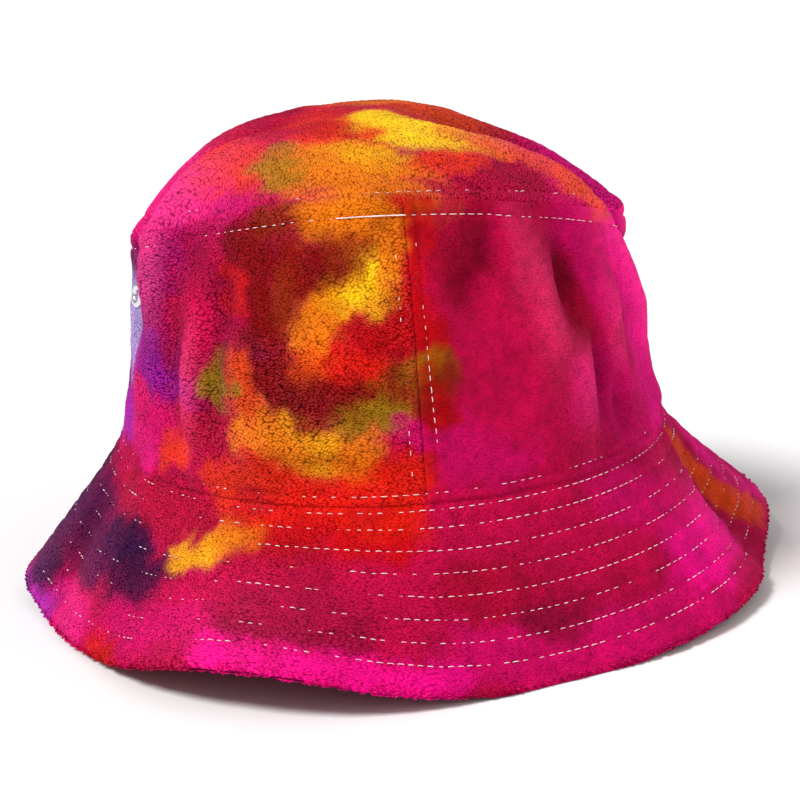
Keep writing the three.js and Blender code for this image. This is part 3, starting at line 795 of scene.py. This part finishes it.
TERRY = terry_material()
THREAD = thread_material()
NICKEL = nickel_material()
TWILL = woven_material("sweatband_twill", srgb("a3124a"), 420.0)
TAPE = woven_material("seam_tape", srgb("a01a50"), 520.0)
STIFFENER = woven_material("interlining_canvas", srgb("e2dccd"), 380.0)
SATIN = woven_material("label_satin", srgb("efeae0"), 900.0, 0.15, 0.05, 0.45)


# ---- Cloth pieces ----

# Spacing of the points in mm, and how many points span the tip.
SIDE_SPACING, BRIM_SPACING, UNDER_SPACING, TIP_POINTS = 0.56, 0.7, 1.05, 297
SIDE_RADIUS, SIDE_HEIGHT, BRIM_RADIUS = 94, 82, 121      # mean sizes that the points are counted from
CLOTH_RADIUS, BRIM_CLOTH_RADIUS = 92, 115                # mean radii along which the cloth is measured
TUCKED = -0.03           # the brim's cloth starts a little under the crown
NAP_FALLS = 90 * DEG     # the brim's loops open towards the left over this turn


def make_crown_side(node_name, start):
    nu = steps(math.pi * SIDE_RADIUS, SIDE_SPACING, BACK_STEP) + 1
    nv = steps(SIDE_HEIGHT, SIDE_SPACING, BACK_STEP) + 1
    az, t = np.meshgrid(np.linspace(start, start + math.pi, nu), np.linspace(0, 1, nv), indexing="ij")
    length = rim_height(az) - SEAM_Z
    u, v = az * CLOTH_RADIUS, t * length
    from_seam = np.minimum(az - start, start + math.pi - az) * CLOTH_RADIUS
    inset = roll_in(v, 0.9) + roll_in(length - v, 0.9) + roll_in(from_seam, 0.7)
    inset = inset + groove(v - HEM_ROW) + groove(length - v - TIP_ROW_BELOW, 0.55)
    inset = inset + groove(from_seam - SEAM_ROW_OFFSET, 0.35, 0.8)
    left = node_name.endswith("left")
    soft = smooth(np.clip(0.5 + fractal(np.stack([u, v], -1), 30, 77) * 0.6, 0, 1))
    strength = 0.72 + 0.28 * soft if left else 0.12 + 0.28 * soft
    # crown_fold also sets the painted shade and highlight of the folds
    cloth_piece(node_name, crown_point(az, t), (u, v), inset, strength, crown_fold(az, t),
                pile=PILE if left else PILE * 0.7)


def make_tip():
    """The tip, on a square grid of points bent to the disc, so that its loops keep one size."""
    count = TIP_POINTS
    x, y = np.meshgrid(np.linspace(-1, 1, count), np.linspace(-1, 1, count), indexing="ij")
    dx, dy = x * np.sqrt(1 - y * y / 2), y * np.sqrt(1 - x * x / 2)
    rho = np.minimum(np.hypot(dx, dy), 1.0)
    az = np.arctan2(dx, -dy)
    u, v = dx * TIP_A, dy * TIP_B
    to_seam = (1 - rho) * (TIP_A + TIP_B) / 2
    inset = roll_in(to_seam, 0.8) + groove(to_seam - TIP_ROW_ABOVE, 0.45)
    # relief sets the painted shade and highlight of the tip's folds
    relief = 0.6 * tip_fold(u, v)
    cloth_piece("crown_tip", tip_point(az, rho), (v * 0.8, u), inset, 0.8, relief)


def brim_grid(spacing):
    nu = steps(2 * math.pi * BRIM_RADIUS, spacing, BACK_STEP)
    nv = steps(BRIM_WIDTH, spacing, BACK_STEP) + 1
    az = BACK_SEAM + 2 * math.pi * np.arange(nu) / nu
    return np.meshgrid(az, np.linspace(TUCKED, 1, nv), indexing="ij")


def brim_inset(s):
    """Turned seam at the crown, half-round outer edge and a furrow under each row of stitches."""
    along = s * BRIM_WIDTH
    inset = groove(along, 0.6, 1.0) + roll_in(BRIM_WIDTH - along, BRIM_THICKNESS / 2)
    for row in [SEAM_ROW] + BRIM_ROWS:
        inset = inset + groove(along - row * BRIM_WIDTH, 0.5, 1.1)
    return inset


def make_brim():
    az, s = brim_grid(BRIM_SPACING)
    u, v = (az - BACK_SEAM) * BRIM_CLOTH_RADIUS, s * BRIM_WIDTH
    strength = 0.35 + 0.5 * smooth(np.clip(0.5 - turn_from(az, 0) / NAP_FALLS, 0, 1))
    # the brim's folds, at 0.6 of their height, set its painted shade and highlight
    cloth_piece("brim_top", brim_point(az, s), (u, v), brim_inset(s), strength,
                brim_fold(az, s) * 0.6, wrap=True)
    az, s = brim_grid(UNDER_SPACING)
    u, v = (az - BACK_SEAM) * BRIM_CLOTH_RADIUS, s * BRIM_WIDTH
    cloth_piece("brim_underside", brim_point(az, s, BRIM_THICKNESS), (u, v), brim_inset(s),
                0.7, 0 * s, wrap=True, side=-1)


FRINGE_SEED, FRINGE_LOOPS, FRINGE_YARN = 7, 3400, 0.17
FRINGE_LOWEST = 0.05     # the loops stay above the floor
# One loop of the fringe: share of its reach, place across, and its height as the material sees it.
LOOP = [(0.0, -0.25, 0.2), (0.75, -0.32, 0.7), (1.0, 0.05, 1.0), (0.72, 0.38, 0.8), (0.1, 0.3, 0.3)]


def make_fringe():
    """Loops of terry that stand out of the brim's cut edge."""
    rng = np.random.default_rng(FRINGE_SEED)
    count = FRINGE_LOOPS
    half = BRIM_THICKNESS / 2
    az = rng.uniform(0, 2 * math.pi, count)
    turn = rng.uniform(-85, 85, count) * DEG
    middle = brim_point(az, 1 - half / BRIM_WIDTH + 0 * az, half)
    edge = brim_point(az, 1 + 0 * az, half)
    out = unit(edge - middle)
    up = unit(brim_point(az, 1 + 0 * az, 0) - edge)
    side = np.cross(out, up)
    away = out * np.cos(turn)[:, None] + up * np.sin(turn)[:, None]
    root = middle + away * (half - 0.5)
    reach = rng.uniform(0.2, 0.8, count)[:, None]
    lean = rng.normal(0, 0.5, count)[:, None]
    line = np.stack([root + away * (0.3 + reach) * h + side * (w * 1.3 + lean * h) for h, w, _ in LOOP], 1)
    sides, rows = 4, len(LOOP)
    angle = 2 * math.pi * np.arange(sides) / sides
    along = unit(np.gradient(line, axis=1))
    across = unit(np.cross(along, np.broadcast_to(up[:, None], along.shape)))
    other = np.cross(along, across)
    ring = across[:, :, None] * np.cos(angle)[:, None] + other[:, :, None] * np.sin(angle)[:, None]
    points = line[:, :, None] + FRINGE_YARN * ring
    points[..., 2] = np.maximum(points[..., 2], FRINGE_LOWEST)
    each = rows * sides
    cloth_colour = np.repeat(dye_at(line[:, 2]), each, 0)
    pile = np.tile(np.repeat([height for _, _, height in LOOP], sides), count)
    uv = np.stack([np.repeat(az * 1.2, each), pile * 0.01], -1)
    attributes = {"dye": cloth_colour, "pile": pile, "loops": 0.6 + 0 * pile}
    polygons = tube_faces(count, rows, sides)
    obj = add_mesh("terry_brim_fringe", points.reshape(-1, 3), polygons, TERRY, attributes, uv)
    finish_piece(obj, "brim_top")


def flat_band(name, node_name, material, surface, azimuths, stations, outer, inner, wrap):
    """A smooth strip of tape or band between two depths of a surface."""
    az, at = np.meshgrid(azimuths, stations, indexing="ij")
    face = surface(az, at, inner)
    back = surface(az, at, outer)
    obj = sheet_mesh(name, face, back, 1, wrap, -1, material)
    finish_piece(obj, node_name)


def crown_at_height(az, z, inset):
    return crown_point(az, (z - SEAM_Z) / (rim_height(az) - SEAM_Z), inset)


def crown_below_rim(az, down, inset):
    return crown_at_height(az, rim_height(az) - down, inset)


def band_at_height(az, z, inset):
    """The sweatband's side of the crown, standing out where its upper edge is folded over."""
    return crown_at_height(az, z, inset - 0.35 * bell(z - SEAM_Z - BAND_HEIGHT + 1, 0.9))


def make_trim():
    around = BACK_SEAM + np.linspace(0, 2 * math.pi, 360, endpoint=False)
    flat_band("twill_sweatband", "sweatband", TWILL, band_at_height, around,
              SEAM_Z + np.linspace(0.2, BAND_HEIGHT, 25), LINING_INSET, LINING_INSET + BAND, True)
    flat_band("tape_tip_seam", "tip_seam_binding", TAPE, crown_below_rim, around,
              np.linspace(12.5, 2.5, 11), LINING_INSET, LINING_INSET + 1.0, True)
    flat_band("canvas_interlining", "brim_interlining", STIFFENER, brim_point, around,
              np.linspace(0.02, 0.94, 30), 2.1, 2.7, True)
    for name, seam in (("front", FRONT_SEAM), ("back", BACK_SEAM)):
        half = TAPE_WIDTH / 2 / SEAM_B
        flat_band("tape_%s_seam" % name, name + "_seam_tape", TAPE, crown_point,
                  seam + np.linspace(-half, half, 9), np.linspace(0.01, 0.96, 60), 2.1, 2.6, False)


# ---- Stitches ----

def surface_normals(surface, a, b):
    """Points of a surface and its unit normals there, along d/da x d/db."""
    e = 1e-3
    p = surface(a, b)
    return p, unit(np.cross(surface(a + e, b) - p, surface(a, b + e) - p))


# A stitch, end to end: place along its length, height over the cloth, share of the full thickness.
ARC = np.array([
    [-0.50, -0.75, 0.35], [-0.36, 0.00, 0.85], [-0.15, 0.26, 1.0],
    [0.15, 0.26, 1.0], [0.36, 0.00, 0.85], [0.50, -0.75, 0.35],
])
RING = 6                 # points round the thread


def stitch_mesh(name, p, n, t, length, radius, lift):
    """Short arcs of thread that dive into the cloth at both ends."""
    across = np.cross(n, t)
    angle = 2 * math.pi * np.arange(RING) / RING
    centre = p[:, None] + t[:, None] * (ARC[:, 0] * length[:, None])[..., None]
    centre = centre + n[:, None] * (ARC[:, 1] + lift[:, None])[..., None]
    ring = n[:, None, None] * np.cos(angle)[:, None] + across[:, None, None] * np.sin(angle)[:, None]
    points = centre[:, :, None] + ring * (ARC[:, 2] * radius[:, None])[..., None, None]
    polygons = [faces[:, ::-1] for faces in tube_faces(len(p), len(ARC), RING)]
    return add_mesh(name, points.reshape(-1, 3), polygons, THREAD)


def az_of(p):
    return np.arctan2((p[..., 0] - CENTRE[0]) / SEAM_A, -(p[..., 1] - CENTRE[1]) / SEAM_B)


THREAD_RADIUS = 0.12
STITCH_LENGTH = 2.3
SUNK, RAISED = 0.72, 0.42      # mm below the loops everywhere, and how much less on brushed cloth
BRUSHED, BRUSHED_WIDTH = 25 * DEG, 42 * DEG
UNEVEN = 0.34                  # slow rise and fall of a row, in mm
DOUBLED_LIFT = 0.55            # stitches sewn over others stand higher


def exposure(az):
    """Stitches lie on top of the brushed cloth right of the front and sink into open loops."""
    return RAISED * bell(turn_from(az, BRUSHED), BRUSHED_WIDTH) - SUNK


def stitch_row(node_name, surface, path, seed, sign=1, bury=0.0, extra=()):
    """One row of stitches on a surface. path(q) gives the surface coordinates for q from 0 to 1.

    Each entry of extra sews over the row from one share of its length to another, at a pitch of its own.
    """
    q = np.linspace(0, 1, 3001)
    a, b = path(q)
    p = surface(a, b)
    run = np.concatenate([[0], np.cumsum(np.linalg.norm(np.diff(p, axis=0), axis=1))])
    count = int(run[-1] / STITCH)
    rng = np.random.default_rng(seed)
    where = (np.arange(count) + 0.5) * STITCH + rng.normal(0, 0.12, count)
    doubled = np.zeros(count)
    for start, end, pitch in extra:
        more = np.arange(start * run[-1], end * run[-1], pitch)
        where = np.concatenate([where, more])
        doubled = np.concatenate([doubled, np.ones(len(more))])
    at = np.interp(where, run, q)
    p, n = surface_normals(surface, *path(at))
    n = n * np.sign(np.sum(n * (p - INSIDE), -1, keepdims=True)) * sign
    t = unit(surface(*path(at + 1e-4)) - p)
    lift = -0.10 - bury + UNEVEN * noise(p, 11, seed) + rng.normal(0, 0.16, len(p))
    lift = lift + exposure(az_of(p)) + DOUBLED_LIFT * doubled
    length = STITCH_LENGTH + rng.normal(0, 0.15, len(p))
    size = THREAD_RADIUS * (1 + rng.normal(0, 0.08, len(p))) * (1 + 0.5 * doubled)
    obj = stitch_mesh("thread_" + node_name, p, n, t, length, size, lift)
    finish_piece(obj, node_name)


BACKTACK = (0.464, 0.499, 1.3)      # the lower tip row is sewn twice just left of the front seam
SEAM_DRIFT = 2.2                    # the row right of a vertical seam runs a little askew


def around(q):
    return BACK_SEAM + 2 * math.pi * q


def below_tip(q):
    return around(q), 1 - TIP_ROW_BELOW / (rim_height(around(q)) - SEAM_Z)


def above_seam(q):
    return around(q), HEM_ROW / (rim_height(around(q)) - SEAM_Z)


def level(at):
    """A row round the hat at one value of the surface's second coordinate."""
    return lambda q: (around(q), at + 0 * q)


def beside_seam(seam, sign):
    """A row up the crown beside a vertical seam, on its left (-1) or right (1)."""
    drift = SEAM_DRIFT if sign > 0 else 0.0
    return lambda q: (seam + sign * (SEAM_ROW_OFFSET + drift * (0.5 - q)) / SIDE_RADIUS, 0.05 + 0.86 * q)


def band_face(az, z):
    return crown_at_height(az, z, LINING_INSET + BAND)


def make_stitches():
    tip_row = level(1 - TIP_ROW_ABOVE / ((TIP_A + TIP_B) / 2))
    stitch_row("tip_stitch_upper", tip_point, tip_row, 1, bury=0.25)
    stitch_row("tip_stitch_lower", crown_point, below_tip, 2, bury=0.05, extra=[BACKTACK])
    stitch_row("crown_hem_stitch", crown_point, above_seam, 3, bury=0.30)
    for name, seam in (("front", FRONT_SEAM), ("back", BACK_SEAM)):
        for side, sign in (("left", -1), ("right", 1)):
            node_name = "%s_seam_stitch_%s" % (name, side)
            stitch_row(node_name, crown_point, beside_seam(seam, sign), 10 + sign, bury=0.12 - 0.13 * sign)
    for i, row in enumerate([SEAM_ROW] + BRIM_ROWS):
        node_name = "brim_stitch_%d" % i if i else "brim_seam_stitch"
        stitch_row(node_name, brim_point, level(row), 20 + i, bury=0.12)
    stitch_row("sweatband_stitch", band_face, level(SEAM_Z + 4), 40, sign=-1)


# ---- Eyelets and label ----

def turned(name, profile, node_name):
    """A metal ring about the axis of the CAD eyelet. profile is a list of (radius, out)."""
    sides = 40
    low, high = node_box(node_name.replace("washer", "eyelet"))
    az = az_of((low + high) / 2)
    share = (EYELET_Z - SEAM_Z) / (rim_height(az) - SEAM_Z)
    p, n = [rows[0] for rows in surface_normals(crown_point, np.array([az]), np.array([share]))]
    n = n * np.sign(np.dot(n, p - np.array([CENTRE[0], CENTRE[1], EYELET_Z])))
    e1 = unit(np.cross(n, [0, 0, 1.0]))
    e2 = np.cross(n, e1)
    angle = 2 * math.pi * np.arange(sides) / sides
    ring = e1 * np.cos(angle)[:, None] + e2 * np.sin(angle)[:, None]
    points = np.array([p + n * out + radius * ring for radius, out in profile])
    m = len(profile)
    i, k = np.meshgrid(np.arange(m), np.arange(sides), indexing="ij")
    j, l = (i + 1) % m, (k + 1) % sides
    quads = np.stack([i * sides + k, i * sides + l, j * sides + l, j * sides + k], -1).reshape(-1, 4)
    obj = add_mesh(name, points.reshape(-1, 3), [quads], NICKEL)
    finish_piece(obj, node_name)


def arc_points(centre, radius, start, end, count):
    turns = np.linspace(start, end, count) * DEG
    return [(centre[0] + radius * math.cos(a), centre[1] + radius * math.sin(a)) for a in turns]


def make_eyelets():
    flange = arc_points((3.0, 0.35), 1.0, 0, 90, 7) + arc_points((2.6, 0.35), 1.0, 95, 170, 7)
    barrel = [(1.6, -2.9), (2.1, -3.0), (2.1, 0.3), (4.0, 0.2)]
    washer = [(2.4, -2.1), (4.0, -2.1), (4.0, -2.4), (3.6, -2.75), (3.0, -2.8), (2.4, -2.6)]
    for side in ("left", "right"):
        for end in ("front", "back"):
            spot = "%s_%s" % (side, end)
            turned("nickel_eyelet_" + spot, flange + barrel, "eyelet_" + spot)
            turned("nickel_washer_" + spot, washer, "washer_" + spot)


def make_label():
    """A thin satin label, a little curled at its free edge and corners."""
    low, high = node_box(LABEL)
    x, z = np.meshgrid(np.linspace(low[0], high[0], 29), np.linspace(high[2], low[2], 25), indexing="ij")
    down = (high[2] - z) / (high[2] - low[2])
    across = (x - low[0]) / (high[0] - low[0]) - 0.5
    middle = (low[1] + high[1]) / 2
    y = middle - 1.4 * down ** 2 * (1 - 2 * across ** 2) + 0.9 * across ** 2
    y = y + 0.25 * np.sin(9 * across + 2 * down) * down
    face = np.stack([x, y - LABEL_CLOTH / 2, z], -1)
    back = np.stack([x, y + LABEL_CLOTH / 2, z], -1)
    obj = sheet_mesh("satin_care_label", face, back, 1, False, -1, SATIN)
    finish_piece(obj, LABEL, LABEL)


# ---- Stage ----

FLOOR_SIZE = 6000.0
FLOOR_BELOW = 0.0004     # m under the hat's lowest point


def make_floor():
    material, nodes, shader = new_material("pale_floor")
    mottled(nodes, shader, 3.0, 2.0, (0.93, 0.93, 0.93), (0.96, 0.96, 0.96))
    feed(shader, Roughness=0.9)
    corners = FLOOR_SIZE * np.array([[-1, -1, 0], [1, -1, 0], [1, 1, 0], [-1, 1, 0]])
    floor = add_mesh("floor", corners, [np.array([[0, 1, 2, 3]])], material)
    floor.location.z = -FLOOR_BELOW


def add_sun(name, azimuth, elevation, strength, spread):
    """Soft light from one side, the same all over the floor."""
    data = bpy.data.lights.new(name, "SUN")
    data.energy = strength
    data.angle = spread * DEG
    light = bpy.data.objects.new(name, data)
    bpy.context.scene.collection.objects.link(light)
    turn, rise = azimuth * DEG, elevation * DEG
    place = Vector((math.sin(turn) * math.cos(rise), -math.cos(turn) * math.cos(rise), math.sin(rise)))
    light.rotation_euler = (-place).to_track_quat("-Z", "Y").to_euler()


def make_light():
    world = bpy.data.worlds.new("studio")
    bpy.context.scene.world = world
    world.use_nodes = True
    feed(world.node_tree.nodes["Background"], Color=(1, 1, 1, 1), Strength=0.36)
    add_sun("key", azimuth=-55, elevation=50, strength=2.9, spread=18)
    add_sun("fill", azimuth=50, elevation=30, strength=0.6, spread=60)


def make_camera():
    """Views the hat from the front and a little above, on a long lens, a touch out of level."""
    distance, elevation, roll, target = 850 * MM, 13.4 * DEG, -3.09 * DEG, 62 * MM
    data = bpy.data.cameras.new("camera")
    camera = bpy.data.objects.new("camera", data)
    bpy.context.scene.collection.objects.link(camera)
    data.sensor_width = 36
    data.lens = 118.0
    data.shift_x, data.shift_y = 0.0133, -0.0170
    data.clip_start, data.clip_end = 0.05, 50
    x, y = CENTRE[0] * MM, CENTRE[1] * MM
    place = Vector((x, y - distance * math.cos(elevation), target + distance * math.sin(elevation)))
    look = (Vector((x, y, target)) - place).to_track_quat("-Z", "Y").to_matrix().to_4x4()
    camera.matrix_world = Matrix.Translation(place) @ look @ Matrix.Rotation(roll, 4, "Z")
    bpy.context.scene.camera = camera


add_back_blotches()
make_camera()
make_light()
make_floor()
make_tip()
make_crown_side("crown_side_left", FRONT_SEAM - math.pi)
make_crown_side("crown_side_right", FRONT_SEAM)
make_brim()
make_fringe()
make_trim()
make_stitches()
make_eyelets()
make_label()
bpy.context.scene.view_settings.view_transform = "Standard"
